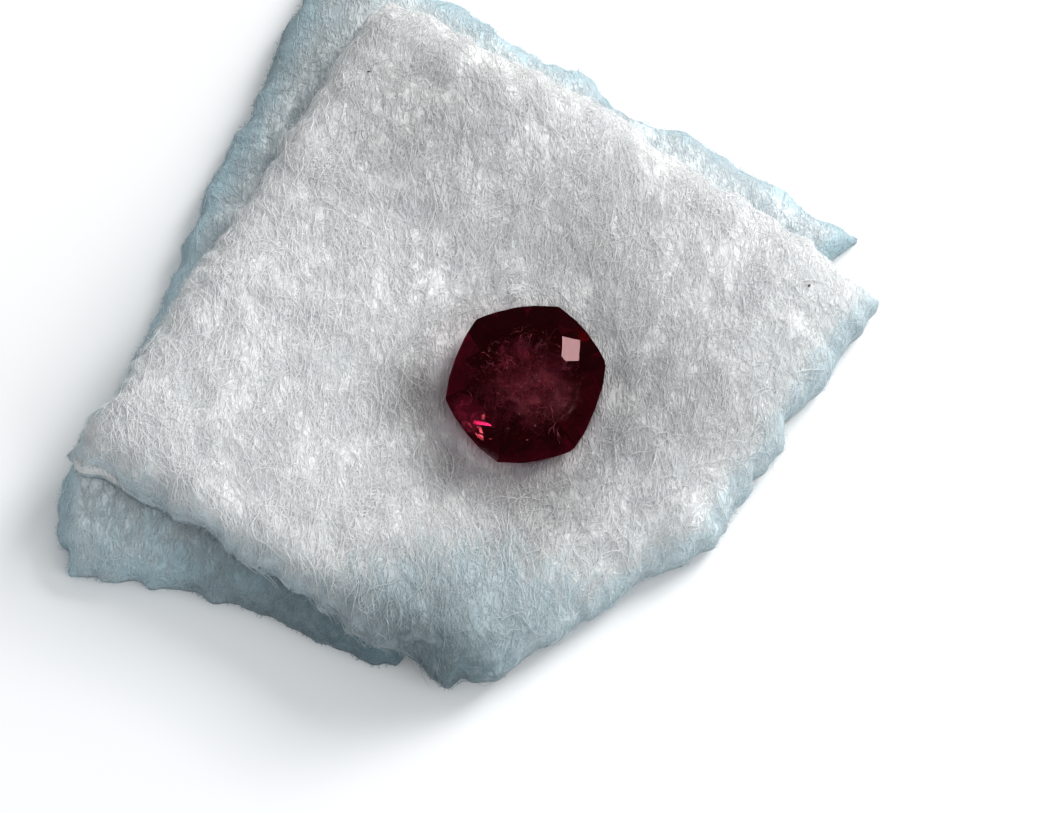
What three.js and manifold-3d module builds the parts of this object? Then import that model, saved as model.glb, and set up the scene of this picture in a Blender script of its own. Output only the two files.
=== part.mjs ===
// A small faceted red beryl lying on two sheets of cotton wadding, as a loose stone is kept in a gem box.
// Millimetres, +Z up. The origin is on the floor, under the middle of the pad.
import * as THREE from 'three';
import { mergeVertices } from 'three/addons/utils/BufferGeometryUtils.js';
import Module from 'manifold-3d';

const wasm = await Module();
wasm.setup();

// Stone: a hand-cut hexagon with bowed sides. Corners on the girdle, counter-clockwise from the right.
const GIRDLE_CORNERS = [
  [2.90, 0.66],
  [1.18, 2.85],
  [-1.83, 2.33],
  [-2.94, -0.55],
  [-1.07, -2.90],
  [1.74, -2.38],
];
const SIDE_BOW = 0.15;
const FLATS_PER_SIDE = 4;
const GIRDLE_THICKNESS = 0.16;
const CROWN_HEIGHT = 1.0;
const PAVILION_DEPTH = 2.5;

// Crown facets. Shares are of the distance from the stone's axis to the girdle in that direction.
// The corner facets differ, as the stone was cut by eye, and each ends just above its girdle corner.
const CORNER_FACET_AT_TABLE = [0.504, 0.409, 0.43, 0.45, 0.44, 0.46];
const CORNER_FACET_FOOT = 0.09;
const KITE_SLOPE = 36;
const KITE_AT_TABLE = 0.531;
const KITE_OUTER_TIP = 0.86;
const UPPER_GIRDLE_SLOPE = 42.5;
const UPPER_GIRDLE_TURN = 10;

// Pavilion facets. The mains meet at the culet, the lower girdle facets cover the ridges between them.
const LOWER_GIRDLE_SLOPE = 43.3;
const LOWER_GIRDLE_TURN = 15;

// How the stone lies: the table leans towards the front, the girdle stands a little proud of the cotton.
const STONE_LEAN = 10;
const STONE_GIRDLE_HEIGHT = 4.2;
const STONE_CLEARANCE = 0.3;

// Wadding: hand-cut squares seen from above, with the stone's girdle centred on 0, 0.
// A bow is how far the middle of an edge swells outwards.
const LOWER_SHEET = {
  left: [-16.6, -6.1],
  front: [-4.7, -9.3],
  right: [12.5, 6.7],
  back: [-7.4, 18.3],
  bows: { leftFront: -0.5, frontRight: -0.8, backRight: 0.1, leftBack: 0.6 },
};
const UPPER_SHEET = {
  left: [-16.4, -2.2],
  front: [-3.0, -10.2],
  right: [13.0, 4.0],
  back: [-5.5, 15.6],
  bows: { leftFront: 0.1, frontRight: 2.2, backRight: 0.3, leftBack: -0.3 },
};
const LOWER_THICKNESS = 1.8;
const UPPER_THICKNESS = 2.4;
const SHEET_GAP = 0.3;
const SHEET_STEPS = 18;

// Edges round over within this share of a sheet's width, down to this share of its thickness.
const EDGE_ROUND = 0.08;
const EDGE_WALL = 0.5;

// The hollow pressed by the stone, and the front right edge that hangs over the sheet below.
const LOWER_HOLLOW = { depth: 1.2, reach: 4 };
const UPPER_HOLLOW = { depth: 0.9, reach: 8 };
const FRONT_DROOP = 1.3;
const FRONT_DROOP_FROM = 0.88;

const STONE_COLOUR = '#6d0a20';
const WADDING_COLOUR = '#e6e9ea';

const UP = new THREE.Vector3(0, 0, 1);
const radians = THREE.MathUtils.degToRad;

function toSolid(geometry) {
  geometry.deleteAttribute('normal');
  geometry.deleteAttribute('uv');
  const merged = mergeVertices(geometry, 1e-5);
  return new wasm.Manifold(new wasm.Mesh({
    numProp: 3,
    vertProperties: new Float32Array(merged.attributes.position.array),
    triVerts: new Uint32Array(merged.index.array),
  }));
}

function toGeometry(solid) {
  const { vertProperties, triVerts } = solid.getMesh();
  const geometry = new THREE.BufferGeometry();
  geometry.setAttribute('position', new THREE.BufferAttribute(vertProperties, 3));
  geometry.setIndex(new THREE.BufferAttribute(triVerts, 1));
  geometry.computeVertexNormals();
  return geometry;
}

// Each side of the girdle, with the corner that it starts from: directions and distances from the axis.
const stations = GIRDLE_CORNERS.map(([x, y], i) => {
  const [nextX, nextY] = GIRDLE_CORNERS[(i + 1) % GIRDLE_CORNERS.length];
  const outward = new THREE.Vector2(nextY - y, x - nextX).normalize();
  return {
    start: new THREE.Vector2(x, y),
    end: new THREE.Vector2(nextX, nextY),
    outward,
    corner: { turn: Math.atan2(y, x), reach: Math.hypot(x, y) },
    side: { turn: outward.angle(), reach: outward.x * x + outward.y * y + SIDE_BOW },
  };
});

// The preform: the bowed outline, sawn to the full depth of the stone. The girdle's top edge is at z = 0.
function preform() {
  const outline = new THREE.Shape();
  outline.moveTo(stations[0].start.x, stations[0].start.y);
  for (const { start, end, outward } of stations) {
    const bend = start.clone().lerp(end, 0.5).addScaledVector(outward, 2 * SIDE_BOW);
    outline.quadraticCurveTo(bend.x, bend.y, end.x, end.y);
  }
  const depth = CROWN_HEIGHT + GIRDLE_THICKNESS + PAVILION_DEPTH;
  const block = new THREE.ExtrudeGeometry(outline, {
    depth,
    curveSegments: FLATS_PER_SIDE,
    bevelEnabled: false,
  });
  return toSolid(block.translate(0, 0, CROWN_HEIGHT - depth));
}

// One flat facet: takes off everything outside a plane that faces turn and leans slope degrees from the
// girdle. The plane passes through the point at reach and height in the direction towards.
function grind(stone, { turn, slope, towards = turn, reach, height, facing }) {
  const lean = radians(slope);
  const normal = new THREE.Vector3(
    Math.sin(lean) * Math.cos(turn),
    Math.sin(lean) * Math.sin(turn),
    facing * Math.cos(lean),
  );
  const lapSize = 10 * PAVILION_DEPTH;
  const lap = new THREE.BoxGeometry(lapSize, lapSize, lapSize);
  lap.translate(0, 0, lapSize / 2);
  lap.applyQuaternion(new THREE.Quaternion().setFromUnitVectors(UP, normal));
  lap.translate(reach * Math.cos(towards), reach * Math.sin(towards), height);
  return stone.subtract(toSolid(lap));
}

// Crown: a corner facet at each corner, a kite in the middle of each side, two upper girdle facets beside it.
function crownFacets() {
  const facing = 1;
  return stations.flatMap(({ corner, side }, i) => {
    const tip = KITE_OUTER_TIP * side.reach;
    const kiteFall = (KITE_OUTER_TIP - KITE_AT_TABLE) * side.reach * Math.tan(radians(KITE_SLOPE));
    const upperGirdle = [-1, 1].map((hand) => ({
      turn: side.turn + hand * radians(UPPER_GIRDLE_TURN),
      slope: UPPER_GIRDLE_SLOPE,
      towards: side.turn,
      reach: tip,
      height: CROWN_HEIGHT - kiteFall,
      facing,
    }));
    const cornerRun = (1 - CORNER_FACET_AT_TABLE[i]) * corner.reach;
    const cornerFacet = {
      turn: corner.turn,
      slope: THREE.MathUtils.radToDeg(Math.atan2(CROWN_HEIGHT - CORNER_FACET_FOOT, cornerRun)),
      reach: CORNER_FACET_AT_TABLE[i] * corner.reach,
      height: CROWN_HEIGHT,
      facing,
    };
    const kite = {
      turn: side.turn,
      slope: KITE_SLOPE,
      reach: KITE_AT_TABLE * side.reach,
      height: CROWN_HEIGHT,
      facing,
    };
    return [cornerFacet, kite, ...upperGirdle];
  });
}

// Pavilion: mains under each corner and each side, two lower girdle facets beside each side's main.
function pavilionFacets() {
  const facing = -1;
  const height = -GIRDLE_THICKNESS;
  return stations.flatMap(({ corner, side }) => {
    const mains = [corner, side].map(({ turn, reach }) => ({
      turn,
      slope: THREE.MathUtils.radToDeg(Math.atan2(PAVILION_DEPTH, reach)),
      reach,
      height,
      facing,
    }));
    const lowerGirdle = [-1, 1].map((hand) => ({
      turn: side.turn + hand * radians(LOWER_GIRDLE_TURN),
      slope: LOWER_GIRDLE_SLOPE,
      reach: side.reach,
      height,
      facing,
    }));
    return [...mains, ...lowerGirdle];
  });
}

function stoneMesh() {
  const facets = [...crownFacets(), ...pavilionFacets()];
  const mesh = new THREE.Mesh(
    toGeometry(facets.reduce(grind, preform())),
    new THREE.MeshStandardMaterial({ color: STONE_COLOUR, roughness: 0.03, metalness: 0 }),
  );
  mesh.name = 'red_beryl';
  mesh.position.set(0, 0, STONE_GIRDLE_HEIGHT);
  mesh.rotation.x = radians(STONE_LEAN);
  return mesh;
}

// A point on a sheet's bowed outline between two corners, at a share of the way along.
function edgePoint(from, to, bow, share) {
  const start = new THREE.Vector2(...from);
  const end = new THREE.Vector2(...to);
  const outward = new THREE.Vector2(end.y - start.y, start.x - end.x).normalize();
  return start.lerp(end, share).addScaledVector(outward, 4 * bow * share * (1 - share));
}

// A place on a sheet: u runs from the left back edge to the front right one, v from front left to back right.
function sheetPoint({ left, front, right, back, bows }, u, v) {
  const blend = (from, to, share) => from.clone().lerp(to, share);
  const alongV = blend(
    edgePoint(left, front, bows.leftFront, u),
    edgePoint(back, right, -bows.backRight, u),
    v,
  );
  const alongU = blend(
    edgePoint(left, back, -bows.leftBack, v),
    edgePoint(front, right, bows.frontRight, v),
    u,
  );
  const flat = blend(
    edgePoint(left, front, 0, u),
    edgePoint(back, right, 0, u),
    v,
  );
  return alongV.add(alongU).sub(flat);
}

// How far the stone presses a sheet down at a place. The hollow leans to the front as the stone does.
function hollow({ depth, reach }, x, y) {
  const pressed = depth - y * Math.tan(radians(STONE_LEAN));
  return pressed * Math.exp(-(x * x + y * y) / (reach * reach));
}

// How full a sheet is at a share of its width: a quarter circle at either edge, 1 in between.
function roundOver(share) {
  const inFromEdge = Math.min(1, Math.min(share, 1 - share) / EDGE_ROUND);
  return Math.sqrt(1 - (1 - inFromEdge) ** 2);
}

// A sheet of wadding between two height functions, with its upper edges rounded over.
function sheetGeometry(sheet, underside, topside) {
  const slab = new THREE.BoxGeometry(1, 1, 1, SHEET_STEPS, SHEET_STEPS, 1);
  const position = slab.attributes.position;
  for (let i = 0; i < position.count; i += 1) {
    const u = position.getX(i) + 0.5;
    const v = position.getY(i) + 0.5;
    const { x, y } = sheetPoint(sheet, u, v);
    const full = EDGE_WALL + (1 - EDGE_WALL) * roundOver(u) * roundOver(v);
    const low = underside(x, y, u);
    const high = low + full * (topside(x, y, u) - low);
    position.setXYZ(i, x, y, position.getZ(i) > 0 ? high : low);
  }
  return slab;
}

function waddingMesh(name, geometry) {
  const mesh = new THREE.Mesh(
    geometry,
    new THREE.MeshStandardMaterial({ color: WADDING_COLOUR, roughness: 1, metalness: 0 }),
  );
  mesh.name = name;
  return mesh;
}

const lowerTop = (x, y) => LOWER_THICKNESS - hollow(LOWER_HOLLOW, x, y);
const droop = (u) => FRONT_DROOP * THREE.MathUtils.smoothstep(u, FRONT_DROOP_FROM, 1);

function lowerSheetMesh() {
  return waddingMesh('lower_cotton_sheet', toGeometry(toSolid(sheetGeometry(LOWER_SHEET, () => 0, lowerTop))));
}

// The upper sheet, with the pocket that the stone's pavilion presses into it.
function upperSheetMesh() {
  const underside = (x, y, u) => lowerTop(x, y) + SHEET_GAP - droop(u);
  const rim = LOWER_THICKNESS + SHEET_GAP + UPPER_THICKNESS;
  const topside = (x, y, u) => rim - hollow(UPPER_HOLLOW, x, y) - droop(u);
  const sheet = toSolid(sheetGeometry(UPPER_SHEET, underside, topside));

  const widest = Math.max(...stations.map(({ corner }) => corner.reach));
  const spread = widest / PAVILION_DEPTH;
  const apexDrop = STONE_CLEARANCE * Math.hypot(1, 1 / spread);
  const bottom = GIRDLE_THICKNESS + PAVILION_DEPTH + apexDrop;
  const depth = bottom + CROWN_HEIGHT;
  const pocket = new THREE.ConeGeometry(spread * depth, depth, 4 * stations.length);
  pocket.rotateX(-Math.PI / 2);
  pocket.translate(0, 0, depth / 2 - bottom);
  pocket.rotateX(radians(STONE_LEAN));
  pocket.translate(0, 0, STONE_GIRDLE_HEIGHT);
  return waddingMesh('upper_cotton_sheet', toGeometry(sheet.subtract(toSolid(pocket))));
}

const gemOnCotton = new THREE.Group();
gemOnCotton.add(lowerSheetMesh(), upperSheetMesh(), stoneMesh());

const middle = new THREE.Box3().setFromObject(gemOnCotton, true).getCenter(new THREE.Vector3());
gemOnCotton.position.set(-middle.x, -middle.y, 0);

export default gemOnCotton;
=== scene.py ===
import math

import bmesh
import bpy
import numpy as np
from mathutils import Matrix, Vector


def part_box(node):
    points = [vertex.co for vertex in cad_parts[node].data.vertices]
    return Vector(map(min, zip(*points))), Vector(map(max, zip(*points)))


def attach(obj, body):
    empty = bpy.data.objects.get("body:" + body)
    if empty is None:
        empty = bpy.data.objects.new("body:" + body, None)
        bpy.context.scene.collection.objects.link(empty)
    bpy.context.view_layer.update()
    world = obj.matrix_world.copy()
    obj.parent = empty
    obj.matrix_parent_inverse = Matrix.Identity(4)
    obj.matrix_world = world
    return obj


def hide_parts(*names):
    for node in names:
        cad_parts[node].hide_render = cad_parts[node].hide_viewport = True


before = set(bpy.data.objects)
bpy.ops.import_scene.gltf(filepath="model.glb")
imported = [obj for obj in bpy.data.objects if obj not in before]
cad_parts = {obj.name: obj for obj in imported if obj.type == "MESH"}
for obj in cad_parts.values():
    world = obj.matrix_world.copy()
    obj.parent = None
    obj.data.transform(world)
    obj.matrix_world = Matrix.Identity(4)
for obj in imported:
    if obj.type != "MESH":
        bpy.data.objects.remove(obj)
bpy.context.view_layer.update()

# Lower sheet of wadding
# The real piece is a hand-cut square of white cotton batting, loose carded fibre with no weave, that lies
# flat under the other sheet. It shows along the left, the lower left and the upper right, mostly in shade.
MM = 0.001
stone_corner_to_axis = np.array((2.882, 2.794)) * MM
stone_axis = np.array(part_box("red_beryl")[0][:2]) + stone_corner_to_axis
stone_lean = math.radians(10)
lower_thickness = 1.75 * MM
lower_hollow_depth, lower_hollow_reach = 1.2 * MM, 4.0 * MM
pile_bump = 0.06 * MM
lower_outline = {
    "left": (-16.6, -6.1),
    "front": (-4.7, -9.3),
    "right": (12.5, 6.7),
    "back": (-7.4, 18.3),
    "bows": {"left_front": -0.5, "front_right": -0.8, "back_right": 0.1, "left_back": 0.6},
    "bulges": {
        "left_back": [(0.13, 0.10, 1.3)],
        "left_front": [(0.80, 0.12, 0.4), (0.95, 0.06, 0.45)],
    },
}


def lumps(x, y, wave, seed):
    """Smooth uneven bumps about one unit high and one wave apart, as loose fibre settles."""
    size = 97
    draw = np.random.default_rng(seed)
    turn = draw.uniform(0, math.pi)
    heights = draw.normal(size=(size, size))
    across = (math.cos(turn) * x + math.sin(turn) * y) / wave
    along = (math.cos(turn) * y - math.sin(turn) * x) / wave
    column, row = np.floor(across).astype(int), np.floor(along).astype(int)
    s, t = across - column, along - row
    s, t = s * s * (3 - 2 * s), t * t * (3 - 2 * t)
    this_column, next_column = column % size, (column + 1) % size
    this_row, next_row = row % size, (row + 1) % size
    near = heights[this_column, this_row] * (1 - s) + heights[next_column, this_row] * s
    far = heights[this_column, next_row] * (1 - s) + heights[next_column, next_row] * s
    return near * (1 - t) + far * t


def hollow(x, y, depth, reach):
    """How far the stone presses the wadding down. The hollow leans to the front as the stone does."""
    dx, dy = x - stone_axis[0], y - stone_axis[1]
    return (depth - dy * math.tan(stone_lean)) * np.exp(-(dx**2 + dy**2) / reach**2)


class Sheet:
    """A four-cornered mat with bowed, ragged edges. u runs from its left back edge to its front right one,
    v from its left front edge to its back right one."""

    def __init__(self, outline, top, under, round_over, tinted, nose, patches, seed):
        self.corners = {
            name: np.array(outline[name]) * MM + stone_axis
            for name in ("left", "front", "right", "back")
        }
        self.bows = {name: bow * MM for name, bow in outline["bows"].items()}
        self.bulges = outline["bulges"]
        self.top_height, self.under_height = top, under
        self.round_over, self.tinted, self.seed = round_over, tinted, seed
        self.nose, self.patches = nose, patches

    def edge(self, start, end, outward, share):
        """A point on the outline. The edge bows as a whole and bulges here and there. outward is -1 on an
        edge that runs clockwise, and 0 gives the straight line."""
        a, b = self.corners[start], self.corners[end]
        out = np.array([b[1] - a[1], a[0] - b[0]]) / np.linalg.norm(b - a)
        name = f"{start}_{end}"
        swell = 4 * self.bows[name] * share * (1 - share)
        for place, reach, height in self.bulges.get(name, ()):
            taper = np.clip(np.minimum(share, 1 - share) / 0.04, 0, 1)
            swell = swell + height * MM * taper * np.exp(-(((share - place) / reach) ** 2))
        return a + (b - a) * share[..., None] + out * (outward * swell)[..., None]

    def place(self, u, v):
        """The spot in the floor plane, before the edges are frayed."""
        across, along = v[..., None], u[..., None]
        by_v = (1 - across) * self.edge("left", "front", 1, u) + across * self.edge("back", "right", -1, u)
        by_u = (1 - along) * self.edge("left", "back", -1, v) + along * self.edge("front", "right", 1, v)
        flat = (1 - across) * self.edge("left", "front", 0, u) + across * self.edge("back", "right", 0, u)
        return by_v + by_u - flat

    def rim(self, u, v):
        """0 inside the sheet, rising to 1 on its cut edge."""
        inside = np.minimum(np.minimum(u, 1 - u), np.minimum(v, 1 - v))
        return np.clip(1 - inside / self.round_over, 0, 1)

    def tint(self, u, v):
        """How cool the wadding looks towards each cut edge and at the front corner, from how far in the tint
        reaches and how strong it is at the edge's two ends. The tint is painted: bluish light through the
        thin edges, and painted shade where it runs deepest."""
        cool = np.zeros(np.broadcast(u, v).shape)
        edges = {
            "left_back": (u, v),
            "front_right": (1 - u, v),
            "left_front": (v, u),
            "back_right": (1 - v, u),
        }
        for name, (inside, along) in edges.items():
            reach, start, end = self.tinted[name]
            strength = start + (end - start) * along
            cool = np.maximum(cool, strength * np.clip(1 - inside / reach, 0, 1) ** 1.3)
        nose_along, nose_across = 0.44, 0.36
        from_nose = np.hypot((1 - u) / nose_along, v / nose_across)
        return np.maximum(cool, self.nose * np.clip(1 - from_nose, 0, 1) ** 0.8)

    def shade(self, u, v):
        """How grey the wadding looks, from patches of centre x and y, reach and depth. Most of it is painted
        shade: the stone's shadow, the shade round its girdle and in the hollow, and the dark front corner; in
        places it is thin wadding. They are painted on, so they stay when the light moves."""
        spot = (self.place(u, v) - stone_axis) / MM
        grey = np.zeros(spot.shape[:-1])
        for x, y, reach, depth in self.patches:
            grey += depth * np.exp(-((spot[..., 0] - x) ** 2 + (spot[..., 1] - y) ** 2) / reach**2)
        darkest = 0.8
        return np.clip(grey, 0, darkest)

    def painted_glow(self, u, v):
        """Painted light: the stone's red colour, painted on the wadding beside its girdle as if the light
        threw it there through the stone, most on the side away from the light.
        """
        light_x, light_y = 0.82, 0.57
        girdle = 2.7
        spot = (self.place(u, v) - stone_axis) / MM
        x, y = spot[..., 0], spot[..., 1]
        away = np.hypot(x, y)
        shadow_side = 0.5 - 0.5 * (light_x * x + light_y * y) / np.maximum(away, 0.1)
        spread = 1.0 + 1.8 * shadow_side
        strength = 0.08 + 0.42 * shadow_side
        return strength * np.clip(1 - (away - girdle) / spread, 0, 1) ** 1.5

    def frayed(self, u, v):
        """The spot in the floor plane, with the cut edge torn ragged."""
        spot = self.place(u, v)
        x, y = spot[..., 0], spot[..., 1]
        tear = 0.17 * lumps(x, y, 2.4 * MM, self.seed) + 0.12 * lumps(x, y, 0.8 * MM, self.seed + 1)
        tear = (tear + 0.08 * lumps(x, y, 0.4 * MM, self.seed + 2)) * MM
        middle = self.place(np.full(1, 0.5), np.full(1, 0.5))[0]
        out = spot - middle
        out = out / np.maximum(np.linalg.norm(out, axis=-1, keepdims=True), MM)
        return spot + out * (tear * self.rim(u, v) ** 2)[..., None]

    def fullness(self, u, v):
        """How much of the thickness is left as the edges round over."""
        def quarter(share):
            inside = np.clip(np.minimum(share, 1 - share) / self.round_over, 0, 1)
            return np.sqrt(1 - (1 - inside) ** 2)

        left_at_rim = 0.30
        return left_at_rim + (1 - left_at_rim) * quarter(u) * quarter(v)

    def under(self, u, v):
        spot = self.frayed(u, v)
        x, y = spot[..., 0], spot[..., 1]
        return np.stack([x, y, self.under_height(x, y, u, v)], -1)

    def top(self, u, v):
        spot = self.frayed(u, v)
        x, y = spot[..., 0], spot[..., 1]
        low = self.under_height(x, y, u, v)
        thick = (self.top_height(x, y, u, v) - low) * self.fullness(u, v)
        settled = 0.09 * lumps(x, y, 2.6 * MM, self.seed + 3)
        settled = settled + 0.04 * lumps(x, y, 0.8 * MM, self.seed + 4)
        return np.stack([x, y, low + thick + settled * MM], -1)


def sheet_mesh(name, sheet, steps):
    """The body of a mat: a grid given its thickness, then settled into the sheet's shape."""
    bm = bmesh.new()
    bmesh.ops.create_grid(bm, x_segments=steps, y_segments=steps, size=0.5)
    bmesh.ops.solidify(bm, geom=bm.faces[:], thickness=0.1)
    flat = np.array([v.co for v in bm.verts])
    upper = flat[:, 2] > flat[:, 2].mean()
    u, v = np.clip(flat[:, 0] + 0.5, 0, 1), np.clip(flat[:, 1] + 0.5, 0, 1)
    shaped = np.where(upper[:, None], sheet.top(u, v), sheet.under(u, v))
    for vert, spot in zip(bm.verts, shaped):
        vert.co = spot
    for name_of, amounts in (("tint", sheet.tint), ("shade", sheet.shade), ("painted_glow", sheet.painted_glow)):
        layer = bm.verts.layers.float.new(name_of)
        for vert, amount in zip(bm.verts, amounts(u, v)):
            vert[layer] = amount
    bmesh.ops.recalc_face_normals(bm, faces=bm.faces[:])
    mesh = bpy.data.meshes.new(name)
    bm.to_mesh(mesh)
    bm.free()
    mesh.shade_smooth()
    piece = bpy.data.objects.new(name, mesh)
    bpy.context.collection.objects.link(piece)
    return piece


def put(tree, kind, sockets=None, **settings):
    """Adds a node to a tree. A socket takes a plain value, or the output that it is linked to."""
    node = tree.nodes.new(kind)
    for name, value in settings.items():
        setattr(node, name, value)
    for name, value in (sockets or {}).items():
        if isinstance(value, bpy.types.NodeSocket):
            tree.links.new(value, node.inputs[name])
        else:
            node.inputs[name].default_value = value
    return node


def blend_of(tree, share, first, second):
    """A mix of two colours."""
    return put(tree, "ShaderNodeMix", {0: share, 6: first, 7: second}, data_type="RGBA").outputs[2]


def span(tree, value, low, high, start=0.0, end=1.0):
    """Takes values from low to high onto start to end, softly."""
    sockets = {0: value, 1: low, 2: high, 3: start, 4: end}
    return put(tree, "ShaderNodeMapRange", sockets, interpolation_type="SMOOTHSTEP").outputs[0]


def carded_cotton_group():
    """Loose fibre: pale strands over gaps of painted shade, greyer in patches that are mostly painted shade,
    reddened by the stone's painted light, and cool at the rim with painted bluish light and shade.
    """
    group = bpy.data.node_groups.new("carded_cotton", "ShaderNodeTree")
    for name in ("Fibre", "Gap", "Rim", "Deep Rim"):
        group.interface.new_socket(name, in_out="INPUT", socket_type="NodeSocketColor")
    for name in ("Tint", "Shade", "Painted_glow"):
        group.interface.new_socket(name, in_out="INPUT", socket_type="NodeSocketFloat")
    group.interface.new_socket("Color", in_out="OUTPUT", socket_type="NodeSocketColor")
    group.interface.new_socket("Height", in_out="OUTPUT", socket_type="NodeSocketFloat")
    given = group.nodes.new("NodeGroupInput").outputs
    where = group.nodes.new("ShaderNodeTexCoord").outputs["Object"]
    combed = put(group, "ShaderNodeMapping", {"Vector": where, "Scale": (1.0, 0.34, 1.0)}).outputs[0]
    noise = "ShaderNodeTexNoise"
    strand = put(group, noise, {"Vector": combed, "Scale": 7200, "Detail": 3, "Distortion": 1.6}).outputs[0]
    tuft = put(group, noise, {"Vector": combed, "Scale": 1900, "Detail": 4, "Distortion": 0.8}).outputs[0]
    patch = put(group, noise, {"Vector": where, "Scale": 520, "Detail": 3, "Distortion": 0.4}).outputs[0]
    fine = put(group, "ShaderNodeMath", {0: strand, 1: tuft}, operation="ADD").outputs[0]
    loft = put(group, "ShaderNodeMath", {0: fine, 1: patch}, operation="ADD").outputs[0]
    loft = span(group, loft, 1.22, 1.74)
    # the gap colour is painted shade between the fibres
    white = blend_of(group, loft, given["Gap"], given["Fibre"])
    # the stone's red light on the wadding, painted
    pink = blend_of(group, given["Painted_glow"], white, (0.42, 0.28, 0.32, 1))
    # the rim's cool colour is painted bluish light through the thin edges, deepening to painted shade
    uneven = put(group, "ShaderNodeMath", {0: tuft, 1: 0.5}, operation="SUBTRACT").outputs[0]
    sockets = {0: uneven, 1: 0.7, 2: given["Tint"]}
    edge = put(group, "ShaderNodeMath", sockets, operation="MULTIPLY_ADD").outputs[0]
    cool = blend_of(group, span(group, edge, 0.05, 0.5, 0, 0.8), pink, given["Rim"])
    deep = blend_of(group, span(group, edge, 0.45, 1.0, 0, 0.9), cool, given["Deep Rim"])
    # painted shade, and in places thin wadding: the grey patches darken the colour towards black
    painted_shade_and_thin = blend_of(group, given["Shade"], deep, (0.0, 0.0, 0.0, 1))
    put(group, "NodeGroupOutput", {"Color": painted_shade_and_thin, "Height": loft})
    return group


carded_cotton = carded_cotton_group()


def cotton(name, fibre, gap, rim, deep_rim, bump):
    """Matt white wadding with a soft nap. Its gap colour is painted shade between the fibres, and its rim
    colours are painted bluish light through the thin edges and, deepest, painted shade.
    """
    material = bpy.data.materials.new(name)
    material.use_nodes = True
    tree = material.node_tree
    tone = put(tree, "ShaderNodeGroup", node_tree=carded_cotton)
    for socket, colour in (("Fibre", fibre), ("Gap", gap), ("Rim", rim), ("Deep Rim", deep_rim)):
        tone.inputs[socket].default_value = (*colour, 1)
    for socket in ("Tint", "Shade", "Painted_glow"):
        worn = put(tree, "ShaderNodeAttribute", attribute_name=socket.lower())
        tree.links.new(worn.outputs["Fac"], tone.inputs[socket])
    shader = tree.nodes["Principled BSDF"]
    tree.links.new(tone.outputs["Color"], shader.inputs["Base Color"])
    shader.inputs["Roughness"].default_value = 0.95
    shader.inputs["Specular IOR Level"].default_value = 0.15
    shader.inputs["Sheen Weight"].default_value = 0.25
    shader.inputs["Sheen Roughness"].default_value = 0.6
    if bump:
        sockets = {"Height": tone.outputs["Height"], "Strength": 1.0, "Distance": bump}
        raised = put(tree, "ShaderNodeBump", sockets)
        tree.links.new(raised.outputs[0], shader.inputs["Normal"])
    return material


def lower_top(x, y, u, v):
    return lower_thickness - hollow(x, y, lower_hollow_depth, lower_hollow_reach)


def on_the_floor(x, y, u, v):
    return np.zeros_like(x)


# each edge's tint, painted bluish light and painted shade: its reach as a share of the sheet, and its
# strength at the edge's two ends
lower_cool = {
    "left_back": (0.09, 0.60, 0.75),
    "front_right": (0.05, 0.60, 0.60),
    "left_front": (0.14, 0.25, 1.05),
    "back_right": (0.05, 0.50, 0.50),
}
# grey patches, set against the photograph's brightness: centre x and y from the stone's axis and
# reach, all in millimetres, and depth
# the lower sheet's patches are painted shade on the bands that the upper sheet shades
lower_patches = [
    (-8.2, -7.9, 3.2, 0.36), (-8.6, 13.6, 3.0, 0.26), (-5.0, -9.0, 2.4, 0.16), (-11.4, -6.9, 2.0, 0.26),
]
lower = Sheet(
    lower_outline,
    lower_top,
    on_the_floor,
    round_over=0.075,
    tinted=lower_cool,
    nose=0.0,
    patches=lower_patches,
    seed=11,
)
lower_piece = sheet_mesh("lower_wadding", lower, steps=130)
# the same batting as the upper sheet, painted greyer and bluer: painted shade, with bluish light through it
lower_piece.data.materials.append(
    cotton(
        "lower_wadding",
        fibre=(0.74, 0.80, 0.82),
        gap=(0.40, 0.47, 0.50),
        rim=(0.38, 0.56, 0.63),
        deep_rim=(0.13, 0.24, 0.29),
        bump=pile_bump,
    )
)
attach(lower_piece, "root")
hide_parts("lower_cotton_sheet")


# Upper sheet of wadding
# The real piece is a second square of the same batting, laid askew on the first and dished where the stone
# presses it. Its front right edge hangs over the sheet below and nearly reaches the floor.
sheet_gap = 0.1 * MM
upper_thickness = 2.55 * MM
least_thickness = 0.15 * MM
upper_hollow_depth, upper_hollow_reach = 0.9 * MM, 8.0 * MM
droop_depth = 1.5 * MM
droop_from = 0.84
upper_outline = {
    "left": (-16.4, -2.2),
    "front": (-3.0, -10.2),
    "right": (13.0, 4.0),
    "back": (-5.5, 15.6),
    "bows": {"left_front": 0.1, "front_right": 2.2, "back_right": 0.3, "left_back": -0.3},
    "bulges": {"front_right": [(0.09, 0.07, 0.45), (0.50, 0.05, 0.45), (0.80, 0.14, -0.5)]},
}
girdle_height = 4.2 * MM
pavilion_slope = 2.5 / 3.0
girdle_reach = 3.05 * MM
half_girdle = 0.16 * MM
stone_clearance = 0.12 * MM


def droop(u):
    share = np.clip((u - droop_from) / (1 - droop_from), 0, 1)
    return droop_depth * share**2 * (3 - 2 * share)


def under_the_stone(x, y):
    """The height of a cone about the stone's pavilion. Round the hidden point the two overlap a little."""
    dx, dy = x - stone_axis[0], y - stone_axis[1]
    level = girdle_height - half_girdle + dy * math.tan(stone_lean)
    return level - (girdle_reach - np.hypot(dx, dy)) * pavilion_slope - stone_clearance


def upper_under(x, y, u, v):
    return lower_top(x, y, u, v) + sheet_gap - droop(u)


def upper_top(x, y, u, v):
    level = lower_thickness + sheet_gap + upper_thickness
    level = level - hollow(x, y, upper_hollow_depth, upper_hollow_reach) - droop(u)
    lowest = upper_under(x, y, u, v) + least_thickness
    return np.minimum(level, np.maximum(under_the_stone(x, y), lowest))


# the upper sheet's edge tint: painted bluish light through its thin edges, and painted shade where deepest
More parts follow.
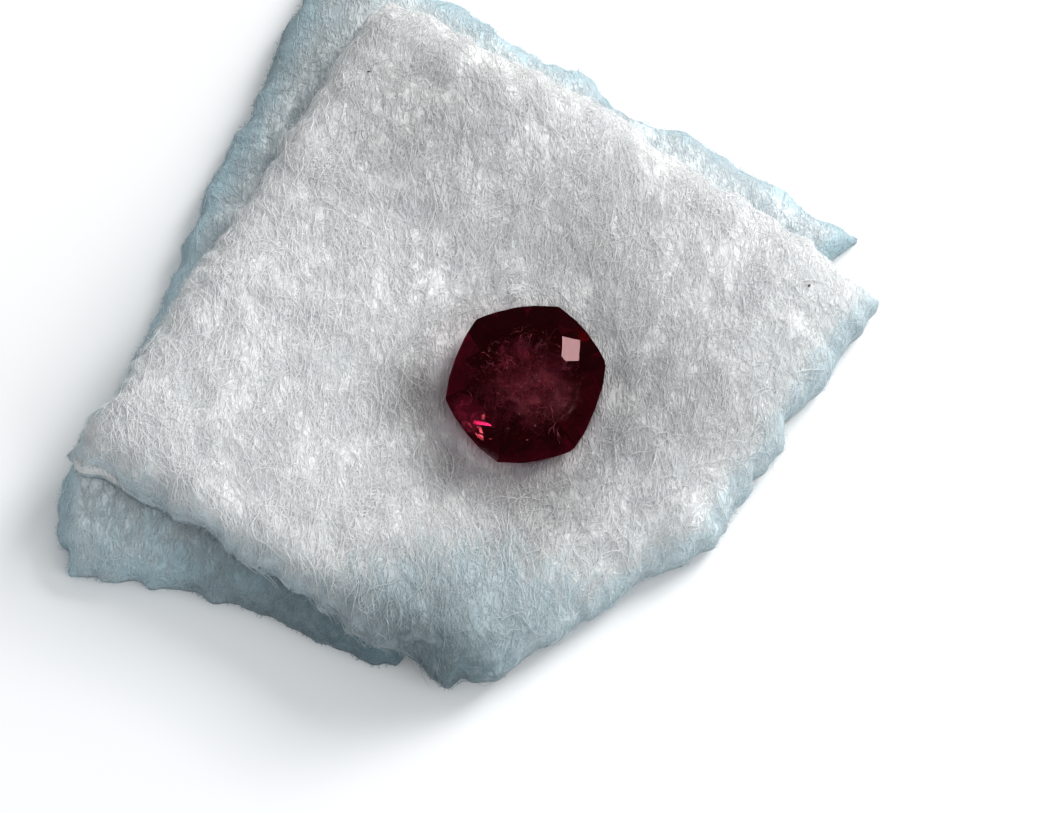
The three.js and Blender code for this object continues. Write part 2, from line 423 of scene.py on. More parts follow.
upper_cool = {
    "left_back": (0.035, 0.55, 0.05),
    "front_right": (0.055, 0.70, 0.60),
    "left_front": (0.045, 0.45, 0.70),
    "back_right": (0.02, 0.20, 0.25),
}
# the upper sheet's patches are mostly painted shade: the stone's shadow at its left, a ring round its girdle,
# the hollow's slopes and the front corner; in places they stand for thin wadding
upper_patches = [
    (-4.0, 10.2, 3.4, 0.30), (-0.9, 8.3, 1.4, 0.14), (1.6, 4.9, 3.2, 0.24), (-3.8, -0.3, 1.30, 0.66),
    (4.6, 0.0, 2.9, 0.26), (0.9, -4.2, 2.0, 0.30), (-2.6, -2.7, 1.2, 0.50), (-3.3, -8.6, 2.6, 0.34),
    (-3.6, -10.0, 2.4, 0.10), (-5.6, -8.0, 2.0, 0.10), (7.4, -0.9, 1.8, 0.14), (-2.2, 2.3, 0.8, 0.20),
    (3.2, 0.2, 0.9, 0.26), (2.7, -1.7, 0.9, 0.28), (1.2, -3.0, 0.9, 0.32), (-0.6, -3.2, 0.9, 0.32),
    (2.3, 2.1, 0.8, 0.20),
]
upper = Sheet(
    upper_outline,
    upper_top,
    upper_under,
    round_over=0.085,
    tinted=upper_cool,
    nose=0.95,
    patches=upper_patches,
    seed=31,
)
upper_piece = sheet_mesh("upper_wadding", upper, steps=150)
upper_piece.data.materials.append(
    cotton(
        "upper_wadding",
        fibre=(0.86, 0.87, 0.87),
        gap=(0.60, 0.62, 0.63),
        rim=(0.49, 0.63, 0.68),
        deep_rim=(0.16, 0.29, 0.34),
        bump=pile_bump,
    )
)
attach(upper_piece, "root")
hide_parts("upper_cotton_sheet")


# Cotton fibres
# The nap of the batting: single cotton hairs and small twisted strands, a few hundredths of a millimetre
# thick, that lie wavy over both sheets, mostly along the carding direction, and stand out of the cut edges.
carding_turn = math.radians(92)
nap_length = (0.6 * MM, 1.6 * MM)
nap_thickness = (0.014 * MM, 0.030 * MM)
nap_lift = (0.01 * MM, 0.10 * MM)
long_length = (1.6 * MM, 3.6 * MM)
long_thickness = (0.016 * MM, 0.034 * MM)
long_lift = (0.03 * MM, 0.16 * MM)
fuzz_length = (0.08 * MM, 0.26 * MM)
fuzz_thickness = (0.014 * MM, 0.028 * MM)


def strands(name, paths, thickness, tones):
    """Joined strands, three-sided and pointed at both ends, along paths of shape strands x points x 3."""
    count, points = paths.shape[:2]
    along = np.gradient(paths, axis=1)
    along /= np.maximum(np.linalg.norm(along, axis=2, keepdims=True), 1e-12)
    side = np.cross(along, (0.0, 0.0, 1.0))
    side /= np.maximum(np.linalg.norm(side, axis=2, keepdims=True), 1e-12)
    over = np.cross(side, along)
    share = np.linspace(0, 1, points)[1:-1]
    swell = 0.45 + 0.55 * np.sin(math.pi * share)
    radius = thickness[:, None] / 2 * swell
    inner = slice(1, -1)
    rings = [
        paths[:, inner]
        + radius[..., None] * (math.cos(turn) * side[:, inner] + 0.6 * math.sin(turn) * over[:, inner])
        for turn in (math.pi / 2, math.pi / 2 + 2 * math.pi / 3, math.pi / 2 + 4 * math.pi / 3)
    ]
    rings = np.stack(rings, 2).reshape(count, -1, 3)
    verts = np.concatenate([paths[:, :1], rings, paths[:, -1:]], 1)
    ring_count, last = points - 2, 3 * (points - 2) + 1
    faces = []
    for j in range(3):
        k = (j + 1) % 3
        faces.append((0, 1 + k, 1 + j))
        for ring in range(ring_count - 1):
            a, b = 1 + 3 * ring, 4 + 3 * ring
            faces += [(a + j, a + k, b + k), (a + j, b + k, b + j)]
        faces.append((last - 3 + j, last - 3 + k, last))
    faces = np.array(faces)[None] + (np.arange(count) * (last + 1))[:, None, None]
    mesh = bpy.data.meshes.new(name)
    mesh.vertices.add(count * (last + 1))
    mesh.vertices.foreach_set("co", verts.astype(np.float32).ravel())
    mesh.loops.add(faces.size)
    mesh.loops.foreach_set("vertex_index", faces.astype(np.int32).ravel())
    mesh.polygons.add(faces.size // 3)
    mesh.polygons.foreach_set("loop_start", np.arange(0, faces.size, 3, dtype=np.int32))
    mesh.update(calc_edges=True)
    for name_of, amounts in tones.items():
        tone = mesh.attributes.new(name_of, "FLOAT", "POINT")
        tone.data.foreach_set("value", np.repeat(amounts, last + 1).astype(np.float32))
    mesh.shade_smooth()
    piece = bpy.data.objects.new(name, mesh)
    bpy.context.collection.objects.link(piece)
    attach(piece, "root")
    return piece


def wander(draw, count, points, length, heading, curl):
    """Wavy paths in the floor plane, as offsets from their first point."""
    bend = draw.normal(0, curl, (count, points - 1)) + draw.normal(0, curl, (count, 1))
    turn = heading[:, None] + np.cumsum(bend, 1) - bend.sum(1, keepdims=True) / 2
    step = (length / (points - 1))[:, None]
    moves = np.stack([np.cos(turn), np.sin(turn)], 2) * step[..., None]
    return np.concatenate([np.zeros((count, 1, 2)), np.cumsum(moves, 1)], 1)


def tones_at(sheet, u, v):
    """A sheet's painted tones where each strand lies: its shade, edge tint and the stone's glow."""
    return {
        "tint": sheet.tint(u, v).mean(-1),
        "shade": sheet.shade(u, v).mean(-1),
        "painted_glow": sheet.painted_glow(u, v).mean(-1),
    }


def over_sheet(sheet, u, v, offsets):
    """Takes paths in the floor plane onto a sheet's top. Past the cut edge they hang a little."""
    eps = 1e-3
    du = (sheet.place(u + eps, v) - sheet.place(u - eps, v)) / (2 * eps)
    dv = (sheet.place(u, v + eps) - sheet.place(u, v - eps)) / (2 * eps)
    area = du[:, 0] * dv[:, 1] - du[:, 1] * dv[:, 0]
    pu = u[:, None] + (offsets[..., 0] * dv[:, 1:] - offsets[..., 1] * dv[:, :1]) / area[:, None]
    pv = v[:, None] + (offsets[..., 1] * du[:, :1] - offsets[..., 0] * du[:, 1:]) / area[:, None]
    cu, cv = np.clip(pu, 0, 1), np.clip(pv, 0, 1)
    paths = sheet.top(cu, cv)
    past = (pu - cu)[..., None] * du[:, None] + (pv - cv)[..., None] * dv[:, None]
    paths[..., :2] += 0.25 * past
    paths[..., 2] -= 0.15 * np.linalg.norm(past, axis=2)
    return paths, tones_at(sheet, cu, cv)


def clear_of_stone(paths):
    """1 away from the stone, falling to 0 beside its girdle."""
    gap = np.hypot(paths[..., 0] - stone_axis[0], paths[..., 1] - stone_axis[1]) - 3.0 * MM
    return np.clip(gap / (0.9 * MM), 0, 1)


def nap(name, sheet, count, points, length, thickness, lift, curl, seed, keep=None):
    """Strands that lie over a sheet's top, thicker in clumps."""
    draw = np.random.default_rng(seed)
    u, v = draw.uniform(0, 1, (2, 3 * count))
    spot = sheet.place(u, v)
    clump = 0.55 + 0.45 * lumps(spot[:, 0], spot[:, 1], 1.3 * MM, seed)
    chosen = draw.uniform(0, 1, 3 * count) < clump
    if keep is not None:
        chosen &= keep(u, v)
    u, v = u[chosen][:count], v[chosen][:count]
    count = len(u)
    spot = sheet.place(u, v)
    swirl = 0.45 * lumps(spot[:, 0], spot[:, 1], 5.0 * MM, seed + 1)
    heading = carding_turn + swirl + draw.normal(0, 0.5, count)
    offsets = wander(draw, count, points, draw.uniform(*length, count), heading, curl)
    offsets -= offsets.mean(1, keepdims=True)
    paths, tones = over_sheet(sheet, u, v, offsets)
    share = np.linspace(0, 1, points)
    arch = np.sin(math.pi * share) ** 0.8 + draw.normal(0, 0.25, (count, points))
    rise = draw.uniform(*lift, count)[:, None] * arch
    paths[..., 2] += rise * clear_of_stone(paths) - 0.02 * MM
    return strands(name, paths, draw.uniform(*thickness, count), tones)


def fuzz(name, sheet, count, points, length, thickness, seed, keep=None):
    """Short strands that stand out of a sheet's cut edge."""
    draw = np.random.default_rng(seed)
    along = draw.uniform(0, 1, 2 * count)
    edge = draw.integers(0, 4, 2 * count)
    inset = draw.uniform(0, 0.012, 2 * count)
    u = np.choose(edge, [inset, 1 - inset, along, along])
    v = np.choose(edge, [along, along, inset, 1 - inset])
    if keep is not None:
        chosen = keep(u, v)
        u, v = u[chosen], v[chosen]
    u, v = u[:count], v[:count]
    count = len(u)
    top, under = sheet.top(u, v), sheet.under(u, v)
    root = under + (top - under) * draw.uniform(0.05, 1.0, (count, 1))
    middle = sheet.place(np.full(1, 0.5), np.full(1, 0.5))[0]
    out = root[:, :2] - middle
    heading = np.arctan2(out[:, 1], out[:, 0]) + draw.normal(0, 0.9, count)
    reach = draw.uniform(*length, count)
    offsets = wander(draw, count, points, reach, heading, 0.45)
    share = np.linspace(0, 1, points)
    climb = draw.normal(0.0, 0.35, (count, 1)) * share + draw.normal(0, 0.08, (count, points)) * share
    height = root[:, 2:] + climb * reach[:, None]
    height = np.maximum(height, 0.03 * MM)
    paths = np.concatenate([root[:, None, :2] + offsets, height[..., None]], 2)
    return strands(name, paths, draw.uniform(*thickness, count), tones_at(sheet, u[:, None], v[:, None]))


def margin(u, v):
    """The part of the lower sheet that the upper one leaves bare."""
    return (u < 0.20) | (v < 0.24) | (v > 0.80)


def uv_at(sheet, x, y):
    """Where on a sheet a place in the floor plane is, in millimetres from the stone's axis."""
    aim = np.stack([np.asarray(x), np.asarray(y)], -1) * MM + stone_axis
    u, v = np.full(aim.shape[:-1], 0.5), np.full(aim.shape[:-1], 0.5)
    eps = 1e-3
    for _ in range(8):
        miss = aim - sheet.place(u, v)
        du = (sheet.place(u + eps, v) - sheet.place(u - eps, v)) / (2 * eps)
        dv = (sheet.place(u, v + eps) - sheet.place(u, v - eps)) / (2 * eps)
        area = du[..., 0] * dv[..., 1] - du[..., 1] * dv[..., 0]
        u = np.clip(u + (miss[..., 0] * dv[..., 1] - miss[..., 1] * dv[..., 0]) / area, 0, 1)
        v = np.clip(v + (miss[..., 1] * du[..., 0] - miss[..., 0] * du[..., 1]) / area, 0, 1)
    return u, v


def lint(name, sheet, tufts, seed):
    """Dense white tufts on a sheet: each has its centre, length, width, turn and number of strands."""
    draw = np.random.default_rng(seed)
    roots, headings, lengths, rises = [], [], [], []
    for x, y, length, width, turn, count in tufts:
        along, across = draw.normal(0, length / 4, count), draw.normal(0, width / 4, count)
        turn = math.radians(turn)
        root_x = x + along * math.cos(turn) - across * math.sin(turn)
        root_y = y + along * math.sin(turn) + across * math.cos(turn)
        roots.append(np.stack([root_x, root_y], 1))
        headings.append(turn + draw.normal(0, 0.5, count))
        lengths.append(draw.uniform(0.2, 0.5, count) * MM)
        mound = 0.14 * np.exp(-((along / length) ** 2 + (across / width) ** 2) * 6)
        rises.append(mound * draw.uniform(0.2, 1, count))
    roots = np.concatenate(roots)
    u, v = uv_at(sheet, roots[:, 0], roots[:, 1])
    offsets = wander(draw, len(u), 6, np.concatenate(lengths), np.concatenate(headings), 0.5)
    paths, tones = over_sheet(sheet, u, v, offsets - offsets.mean(1, keepdims=True))
    paths[..., 2] += np.concatenate(rises)[:, None] * MM * np.sin(np.linspace(0, math.pi, 6))
    # the tufts take only a little of the painted shade, edge tint and glow
    calm = {key: 0.15 * amounts for key, amounts in tones.items()}
    return strands(name, paths, draw.uniform(0.020, 0.034, len(u)) * MM, calm)


upper_fibres = [
    nap(f"upper_nap_{i}", upper, 6400, 6, nap_length, nap_thickness, nap_lift, 0.40, 100 + i)
    for i in range(3)
]
# tufts: centre x and y from the stone's axis, length and width in millimetres, turn in degrees, strands
white_tufts = [
    (-10.95, -3.05, 0.75, 0.55, 60, 260), (6.75, -2.95, 0.95, 0.40, -10, 220),
    (2.45, -5.35, 1.00, 0.40, 20, 220), (-15.55, -3.00, 1.50, 0.22, -35, 420),
    (-7.4, 8.0, 2.2, 1.4, 60, 420), (-5.6, -4.4, 2.4, 1.6, 40, 420), (-6.2, 5.2, 1.8, 1.2, 80, 300),
    (6.6, 6.6, 2.2, 1.2, -30, 300), (-0.4, 3.5, 1.0, 0.6, 30, 160),
]
upper_fibres += [
    nap("upper_long_strands", upper, 2400, 10, long_length, long_thickness, long_lift, 0.30, 120),
    fuzz("upper_edge_fuzz", upper, 4200, 5, fuzz_length, fuzz_thickness, 130),
    lint("upper_lint", upper, white_tufts, 125),
]
lower_fibres = [
    nap("lower_nap", lower, 5200, 6, nap_length, nap_thickness, nap_lift, 0.40, 140, margin),
    fuzz("lower_edge_fuzz", lower, 4200, 5, fuzz_length, fuzz_thickness, 150),
]
upper_hair = cotton(
    "upper_fibres",
    fibre=(0.93, 0.94, 0.94),
    gap=(0.84, 0.85, 0.86),
    rim=(0.60, 0.73, 0.78),
    deep_rim=(0.23, 0.36, 0.41),
    bump=0,
)
# the lower sheet's strands, painted greyer and bluer than the upper ones as shade
lower_hair = cotton(
    "lower_fibres",
    fibre=(0.78, 0.85, 0.88),
    gap=(0.60, 0.68, 0.71),
    rim=(0.50, 0.68, 0.75),
    deep_rim=(0.20, 0.34, 0.40),
    bump=0,
)
for pieces, hair, slot in (
    (upper_fibres, upper_hair, "upper_cotton"),
    (lower_fibres, lower_hair, "lower_cotton"),
):
    for piece in pieces:
        piece.data.materials.append(hair)

# scraps of brown seed coat, left by the gin: x and y from the stone's axis, and size, in millimetres
seed_coat = bpy.data.materials.new("seed_coat")
seed_coat.use_nodes = True
tree = seed_coat.node_tree
where = tree.nodes.new("ShaderNodeTexCoord").outputs["Object"]
mottle = put(tree, "ShaderNodeTexNoise", {"Vector": where, "Scale": 20000, "Detail": 2}).outputs[0]
brown = blend_of(tree, mottle, (0.035, 0.028, 0.022, 1), (0.11, 0.09, 0.07, 1))
tree.links.new(brown, tree.nodes["Principled BSDF"].inputs["Base Color"])
tree.nodes["Principled BSDF"].inputs["Roughness"].default_value = 0.7
bm = bmesh.new()
scraps = ((-5.75, 11.8, 0.045), (10.2, 3.75, 0.050), (-3.2, 4.75, 0.035), (-9.6, -6.4, 0.030))
for k, (x, y, size) in enumerate(scraps):
    u, v = uv_at(upper, np.array([x]), np.array([y]))
    spot = upper.top(u, v)[0] + np.array((0, 0, 0.06 * MM))
    place = Matrix.Translation(spot) @ Matrix.Rotation(k, 4, "Z") @ Matrix.Diagonal((1.4, 0.8, 0.5, 1))
    bmesh.ops.create_icosphere(bm, subdivisions=2, radius=size * MM, matrix=place)
mesh = bpy.data.meshes.new("seed_coat_scraps")
bm.to_mesh(mesh)
bm.free()
mesh.materials.append(seed_coat)
seed_scraps = bpy.data.objects.new("seed_coat_scraps", mesh)
bpy.context.collection.objects.link(seed_scraps)
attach(seed_scraps, "root")


# Red beryl
# The stone is one clear crystal of red beryl, cut by hand to a six-cornered outline with bowed sides and
# polished. It rests loose in the hollow of the wadding. Its colour comes from the depth of crystal that light
# has crossed.
stone = bpy.data.objects["red_beryl"]
crystal = bpy.data.materials.new("red_beryl_crystal")
crystal.use_nodes = True
tree = crystal.node_tree
shader = tree.nodes["Principled BSDF"]
shader.inputs["Transmission Weight"].default_value = 1.0
shader.inputs["IOR"].default_value = 1.577
shader.inputs["Specular Tint"].default_value = (1.0, 0.52, 0.55, 1)
where = tree.nodes.new("ShaderNodeTexCoord").outputs["Object"]
sockets = {"Vector": where, "Scale": 700, "Detail": 3, "Distortion": 0.6}
zones = put(tree, "ShaderNodeTexNoise", sockets).outputs[0]
body_colour = blend_of(tree, span(tree, zones, 0.35, 0.65), (1.0, 0.86, 0.89, 1), (1.0, 0.96, 0.97, 1))
tree.links.new(body_colour, shader.inputs["Base Color"])
polish = put(tree, "ShaderNodeTexNoise", {"Vector": where, "Scale": 5200, "Detail": 4}).outputs[0]
tree.links.new(span(tree, polish, 0.3, 0.7, 0.0, 0.012), shader.inputs["Roughness"])
depth = put(tree, "ShaderNodeVolumeAbsorption", {"Color": (0.79, 0.04, 0.40, 1), "Density": 1080})
tree.links.new(depth.outputs[0], tree.nodes["Material Output"].inputs["Volume"])
stone.data.materials.clear()
stone.data.materials.append(crystal)


# Inclusions
# The stone's own flaws: pale healed cracks that hang as thin veils under the table, curling threads and a
# feather beside them, a bright crack at the left front edge and a few specks of another mineral, shut in
# the crystal but for a few tips. Places here are in millimetres from the girdle's middle.
stone_place = Matrix.Translation((*stone_axis, girdle_height)) @ Matrix.Rotation(stone_lean, 4, "X")
table_level, table_reach = 1.0, 1.5
crown_fall = 0.70
leaf_thickness = 0.004


def in_stone(spots):
    """Takes places in the stone, in millimetres from its girdle's middle, to where it lies."""
    turn, shift = np.array(stone_place)[:3, :3], np.array(stone_place)[:3, 3]
    return spots * MM @ turn.T + shift


def crown_at(x, y):
    """About the height of the stone's upper surface: a flat table, then a cone that falls to the girdle."""
    return np.minimum(table_level, table_level - crown_fall * (np.hypot(x, y) - table_reach))


def flaw(name, colour, dark, clear_below, clear_above, scale):
    """Matt pale matter, broken up by fine gaps. It thins out where the mesh says so."""
    material = bpy.data.materials.new(name)
    material.use_nodes = True
    tree = material.node_tree
    shader = tree.nodes["Principled BSDF"]
    where = tree.nodes.new("ShaderNodeTexCoord").outputs["Object"]
    sockets = {"Vector": where, "Scale": scale, "Detail": 5, "Distortion": 1.2}
    cloud = put(tree, "ShaderNodeTexNoise", sockets).outputs[0]
    tone = blend_of(tree, span(tree, cloud, 0.35, 0.65), (*dark, 1), (*colour, 1))
    tree.links.new(tone, shader.inputs["Base Color"])
    dense = put(tree, "ShaderNodeAttribute", attribute_name="dense").outputs["Fac"]
    broken = span(tree, cloud, 0.40, 0.74, clear_below, clear_above)
    seen = put(tree, "ShaderNodeMath", {0: broken, 1: dense}, operation="MULTIPLY").outputs[0]
    tree.links.new(seen, shader.inputs["Alpha"])
    shader.inputs["Roughness"].default_value = 0.8
    shader.inputs["Specular IOR Level"].default_value = 0.2
    return material


def threads(name, starts, headings, lengths, curls, thickness, depths, dense, points, seed):
    """Curling threads under the table."""
    draw = np.random.default_rng(seed)
    count = len(starts)
    offsets = wander(draw, count, points, lengths, headings, curls)
    spots = np.concatenate([starts[:, None] + offsets, np.zeros((count, points, 1))], 2)
    waver = np.cumsum(draw.normal(0, 0.03, (count, points)), 1)
    least_depth, most_depth = 0.08, 1.4
    below = np.clip(depths[:, None] + waver, least_depth, most_depth)
    spots[..., 2] = crown_at(spots[..., 0], spots[..., 1]) - below
    piece = strands(name, in_stone(spots), thickness * MM, {"dense": dense})
    return piece


draw = np.random.default_rng(61)
swarm = 620
swarm_turn = draw.uniform(0, 2 * math.pi, swarm)
swarm_reach = 1.95 * draw.uniform(0, 1, swarm) ** 0.70
swarm_middle = -0.12
swarm_x, swarm_y = swarm_reach * np.cos(swarm_turn), swarm_reach * np.sin(swarm_turn) + swarm_middle
wisps = threads(
    "stone_wisps",
    starts=np.stack([swarm_x, swarm_y], 1),
    headings=draw.uniform(0, 2 * math.pi, swarm),
    lengths=draw.uniform(0.10, 0.50, swarm),
    curls=0.42,
    thickness=draw.uniform(0.010, 0.024, swarm),
    depths=draw.uniform(0.10, 0.7, swarm),
    dense=draw.uniform(0.35, 1.0, swarm) * (1 - (swarm_reach / 2.5) ** 2),
    points=9,
    seed=62,
)
# the larger threads: a loop at the upper left of the table, a branch beside it and a feather at the lower
# right, each by its start, its heading in degrees and its length
large_threads = np.array([
    (-0.90, 1.15, -25, 0.7), (-0.82, 1.00, -80, 0.8), (-0.70, 0.72, -50, 0.5), (-0.15, 1.20, 75, 0.7),
    (-0.10, 0.95, 60, 0.8), (0.10, 1.05, 35, 0.7), (0.35, 1.00, 25, 0.6), (0.00, 0.62, 95, 0.7),
    (-1.05, 0.55, 150, 0.5), (-1.60, 1.00, -40, 0.5), (1.12, -1.35, -105, 0.6), (1.10, -1.62, -75, 0.6),
    (0.98, -1.55, -120, 0.4), (1.15, -1.50, -80, 0.6), (-2.15, -0.25, -75, 0.6), (1.25, 0.35, 70, 0.5),
    (0.80, 0.30, 60, 0.5), (0.75, -0.75, -65, 0.8),
])
large_count = len(large_threads)
bright_threads = threads(
    "stone_threads",
    starts=large_threads[:, :2],
    headings=np.radians(large_threads[:, 2]),
    lengths=large_threads[:, 3],
    curls=0.16,
    thickness=np.full(large_count, 0.026),
    depths=np.linspace(0.12, 0.32, large_count),
    dense=np.full(large_count, 0.85),
    points=12,
    seed=63,
)
wisp_matter = flaw("healed_threads", (1.0, 0.58, 0.54), (0.75, 0.28, 0.28), 0.45, 1.0, 3000)
for piece in (wisps, bright_threads):
    piece.data.materials.append(wisp_matter)


def film(name, outlines, height, thins, cuts, matter):
    """Thin leaves inside the stone, from outlines in millimetres, each closed all round."""
    bm = bmesh.new()
    for outline in outlines:
        bm.faces.new([bm.verts.new((x, y, 0)) for x, y in outline])
    bmesh.ops.poke(bm, faces=bm.faces[:])
    bmesh.ops.subdivide_edges(bm, edges=bm.edges[:], cuts=cuts, use_grid_fill=True)
    bmesh.ops.solidify(bm, geom=bm.faces[:], thickness=leaf_thickness)
    flat = np.array([v.co for v in bm.verts])
    layer = bm.verts.layers.float.new("dense")
    for vert, amount in zip(bm.verts, thins(flat[:, 0], flat[:, 1])):
        vert[layer] = amount
    flat[:, 2] += height(flat[:, 0], flat[:, 1])
    for vert, spot in zip(bm.verts, in_stone(flat)):
        vert.co = spot
    bmesh.ops.recalc_face_normals(bm, faces=bm.faces[:])
    mesh = bpy.data.meshes.new(name)
    bm.to_mesh(mesh)
    bm.free()
    mesh.materials.append(matter)
    piece = bpy.data.objects.new(name, mesh)
    bpy.context.collection.objects.link(piece)
    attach(piece, "root")
    return piece


def disc(x, y, across, deep):
    """A round outline."""
    turns = np.linspace(0, 2 * math.pi, 40, endpoint=False)
    return [(x + across / 2 * math.cos(t), y + deep / 2 * math.sin(t)) for t in turns]


def fading(x0, y0, across, deep, seed):
    """Thick in the middle and thinned to nothing at the rim, unevenly."""
    def amount(x, y):
        away = np.hypot((x - x0) / (across / 2), (y - y0) / (deep / 2))
        uneven = np.clip(1.05 - away + 0.16 * lumps(x, y, 0.5, seed), 0, 1) ** 0.9
        return uneven * np.clip((0.98 - away) / 0.25, 0, 1)
    return amount


def rippled(level, seed):
    """A level leaf with waves in it."""
    def height(x, y):
        return level + 0.07 * lumps(x, y, 0.7, seed) + 0.03 * lumps(x, y, 0.25, seed + 5)
    return height


def beneath_crown(deep, seed):
    """So far under the crown's slope."""
    def height(x, y):
        return crown_at(x, y) - deep + 0.04 * lumps(x, y, 0.3, seed)
    return height


# the upper veil's rim, faded to nothing, comes out through the crown by up to 0.13 mm
veil_matter = flaw("healed_veil", (0.95, 0.44, 0.42), (0.55, 0.18, 0.20), 0.08, 0.46, 1500)
upper_veil, lower_veil = (0.40, -0.50, 3.0, 2.2), (-0.05, -0.20, 3.9, 3.5)
film("stone_veil_upper", [disc(*upper_veil)], rippled(0.74, 71), fading(*upper_veil, 73), 5, veil_matter)
film("stone_veil_lower", [disc(*lower_veil)], rippled(0.30, 72), fading(*lower_veil, 74), 5, veil_matter)

# the bright crack at the left front edge, and its small open faces that mirror the light
crack_matter = flaw("bright_crack", (1.0, 0.22, 0.36), (0.90, 0.07, 0.22), 0.35, 1.0, 2600)
crack_outline = [
    (-2.78, -0.50), (-2.30, -0.35), (-1.75, -0.55), (-1.40, -0.95), (-1.35, -1.60), (-1.62, -1.98),
    (-2.15, -1.62),
]
crack_fade = fading(-2.05, -1.10, 1.6, 1.7, 78)
film("stone_bright_crack", [crack_outline], beneath_crown(0.40, 77), crack_fade, 5, crack_matter)
# each face by its outline and its level, all leaning a little towards the key light
mirror_faces = (
    ([(-2.04, -1.24), (-1.86, -1.30), (-1.76, -1.42), (-1.94, -1.44)], -0.42),
    ([(-1.44, -1.02), (-1.28, -0.94), (-1.34, -1.18), (-1.46, -1.20)], -0.20),
    ([(-1.62, -1.36), (-1.46, -1.40), (-1.40, -1.66), (-1.54, -1.62)], -0.34),
    ([(-1.60, -1.66), (-1.44, -1.70), (-1.40, -1.90), (-1.52, -1.92), (-1.64, -1.80)], -0.38),
    ([(-1.74, -1.62), (-1.66, -1.64), (-1.56, -1.84), (-1.64, -1.84)], -0.40),
    ([(-2.16, -0.98), (-2.04, -0.94), (-2.08, -1.08)], -0.36),
    ([(-1.24, -1.86), (-1.10, -1.84), (-1.20, -1.93)], -0.20),
)
mirror_lean = (0.121, 0.064)
mirror_matter = bpy.data.materials.new("crack_faces")
mirror_matter.use_nodes = True
tree = mirror_matter.node_tree
shader = tree.nodes["Principled BSDF"]
where = tree.nodes.new("ShaderNodeTexCoord").outputs["Object"]
grain = put(tree, "ShaderNodeTexNoise", {"Vector": where, "Scale": 9000, "Detail": 3}).outputs[0]
glint = blend_of(tree, grain, (1.0, 0.60, 0.38, 1), (1.0, 0.95, 0.60, 1))
tree.links.new(glint, shader.inputs["Base Color"])
tree.links.new(span(tree, grain, 0.3, 0.7, 0.24, 0.42), shader.inputs["Roughness"])
shader.inputs["Metallic"].default_value = 1.0


def leaning(level, x0, y0):
    """A flat leaf that leans towards the key light."""
    def height(x, y):
        return level - mirror_lean[0] * (x - x0) - mirror_lean[1] * (y - y0)
    return height


def all_thick(x, y):
    return np.ones_like(x)


for k, (outline, level) in enumerate(mirror_faces):
    face = leaning(level, *np.mean(outline, axis=0))
    film(f"stone_crack_face_{k}", [outline], face, all_thick, 1, mirror_matter)

speck_matter = flaw("pale_specks", (1.0, 0.80, 0.76), (0.90, 0.62, 0.60), 1.0, 1.0, 9000)
bm = bmesh.new()
speck_sizes = (0.030, 0.022, 0.026, 0.034, 0.020)
speck_spots = np.array([
    (0.45, -0.02, 0.88), (-0.05, -0.09, 0.86), (-0.19, -0.24, 0.85), (0.02, -2.03, 0.40), (-1.2, 0.62, 0.80),
    (-0.7, 0.45, 0.82), (0.55, 0.85, 0.86), (-0.25, -1.2, 0.80), (0.3, -1.55, 0.70), (-1.0, -0.45, 0.80),
])
for k, spot in enumerate(in_stone(speck_spots)):
    size = speck_sizes[k % len(speck_sizes)] * MM
    place = Matrix.Translation(spot) @ Matrix.Rotation(k, 4, "Z") @ Matrix.Diagonal((1.5, 1.0, 0.8, 1))
    bmesh.ops.create_icosphere(bm, subdivisions=1, radius=size, matrix=place)
layer = bm.verts.layers.float.new("dense")
for vert in bm.verts:
    vert[layer] = 1.0
mesh = bpy.data.meshes.new("stone_specks")
bm.to_mesh(mesh)
bm.free()
mesh.materials.append(speck_matter)
specks = bpy.data.objects.new("stone_specks", mesh)
bpy.context.collection.objects.link(specks)
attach(specks, "root")


# Floor, light and camera
# A plain pale floor, soft light that comes mostly from the upper right, and the photograph's own view. The
# sky is dimmed where the stone mirrors it, as a dark flag over a studio table does.
image_wide, image_high = 1044, 813
stone_pixel = (526.4, 383.3)
camera_height_angle = math.radians(74)
camera_distance = 140 * MM
lens, sensor = 135.1, 36.0

bm = bmesh.new()
bmesh.ops.create_grid(bm, x_segments=1, y_segments=1, size=0.6)
floor_mesh = bpy.data.meshes.new("floor")
bm.to_mesh(floor_mesh)
bm.free()
floor = bpy.data.objects.new("floor", floor_mesh)
bpy.context.collection.objects.link(floor)
paper = bpy.data.materials.new("pale_floor")
paper.use_nodes = True
tree = paper.node_tree
where = tree.nodes.new("ShaderNodeTexCoord").outputs["Object"]
grain = put(tree, "ShaderNodeTexNoise", {"Vector": where, "Scale": 60, "Detail": 2}).outputs[0]
pale = blend_of(tree, grain, (0.90, 0.91, 0.92, 1), (0.93, 0.94, 0.95, 1))
tree.links.new(pale, tree.nodes["Principled BSDF"].inputs["Base Color"])
tree.nodes["Principled BSDF"].inputs["Roughness"].default_value = 0.9
floor_mesh.materials.append(paper)

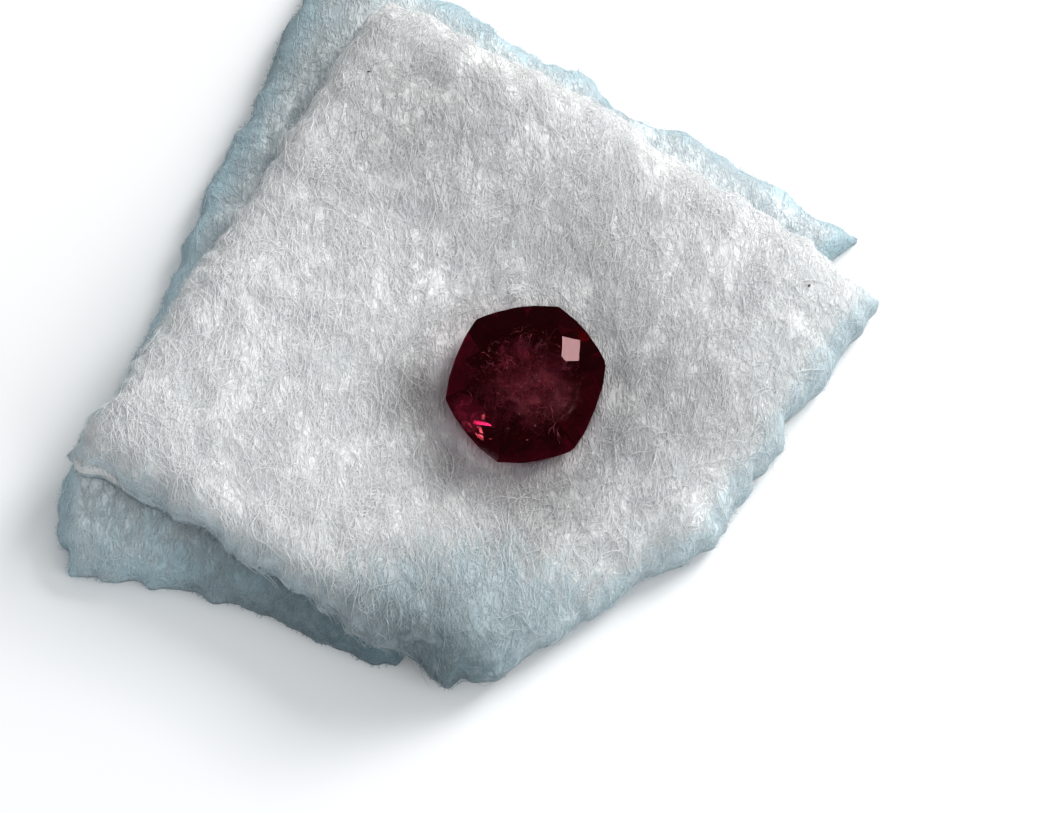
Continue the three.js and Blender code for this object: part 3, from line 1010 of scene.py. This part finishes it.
ahead = Vector((0, math.cos(camera_height_angle), -math.sin(camera_height_angle)))
above = Vector((0, math.sin(camera_height_angle), math.cos(camera_height_angle)))
right = Vector((1, 0, 0))
off_x = (stone_pixel[0] - image_wide / 2) / image_wide * sensor
off_y = (image_high / 2 - stone_pixel[1]) / image_wide * sensor
sight = (ahead * lens + right * off_x + above * off_y).normalized()
stone_centre = Vector((stone_axis[0], stone_axis[1], girdle_height))
camera_data = bpy.data.cameras.new("camera")
camera_data.lens = lens
camera_data.sensor_width = sensor
camera_data.clip_start = 1 * MM
camera_data.clip_end = 10
camera = bpy.data.objects.new("camera", camera_data)
camera.location = stone_centre - sight * camera_distance
camera.rotation_euler = (math.pi / 2 - camera_height_angle, 0, 0)
bpy.context.collection.objects.link(camera)
bpy.context.scene.camera = camera

world = bpy.data.worlds.new("studio")
world.use_nodes = True
sky = world.node_tree
toward = sky.nodes.new("ShaderNodeTexCoord").outputs["Generated"]
height = put(sky, "ShaderNodeSeparateXYZ", {0: toward}).outputs["Z"]
soft = blend_of(sky, span(sky, height, 0.15, 0.95), (0.10, 0.11, 0.13, 1), (0.97, 0.99, 1.0, 1))
mirrored = sky.nodes.new("ShaderNodeLightPath").outputs["Is Glossy Ray"]
flagged = blend_of(sky, mirrored, soft, (0.06, 0.04, 0.05, 1))
sky.links.new(flagged, sky.nodes["Background"].inputs["Color"])
sky.nodes["Background"].inputs["Strength"].default_value = 0.80
bpy.context.scene.world = world


def soft_lamp(name, direction, distance, size, power, colour):
    """A square softbox that faces the stone."""
    data = bpy.data.lights.new(name, "AREA")
    data.shape = "SQUARE"
    data.size = size
    data.energy = power
    data.color = colour
    lamp = bpy.data.objects.new(name, data)
    lamp.location = stone_centre + direction.normalized() * distance
    lamp.rotation_euler = (-direction).to_track_quat("-Z", "Y").to_euler()
    lamp.visible_camera = False
    bpy.context.collection.objects.link(lamp)
    return lamp


lamp_distance = 0.30
soft_lamp("key", Vector((0.582, 0.562, 0.588)), lamp_distance, 0.11, 0.62, (1.0, 0.98, 0.96))
# in the mirror direction of the kite facet that flashes
soft_lamp("window", Vector((0.715, 0.602, 0.357)), lamp_distance, 0.10, 0.27, (1.0, 0.98, 0.97))
# lights the wadding's front right slope, and is kept out of the stone
fill = soft_lamp("fill", Vector((0.75, -0.45, 0.50)), lamp_distance, 0.22, 0.30, (0.96, 0.99, 1.0))
fill.visible_glossy = False
fill.visible_transmission = False
bpy.context.scene.cycles.sample_clamp_indirect = 3
bpy.context.scene.view_settings.view_transform = "Standard"
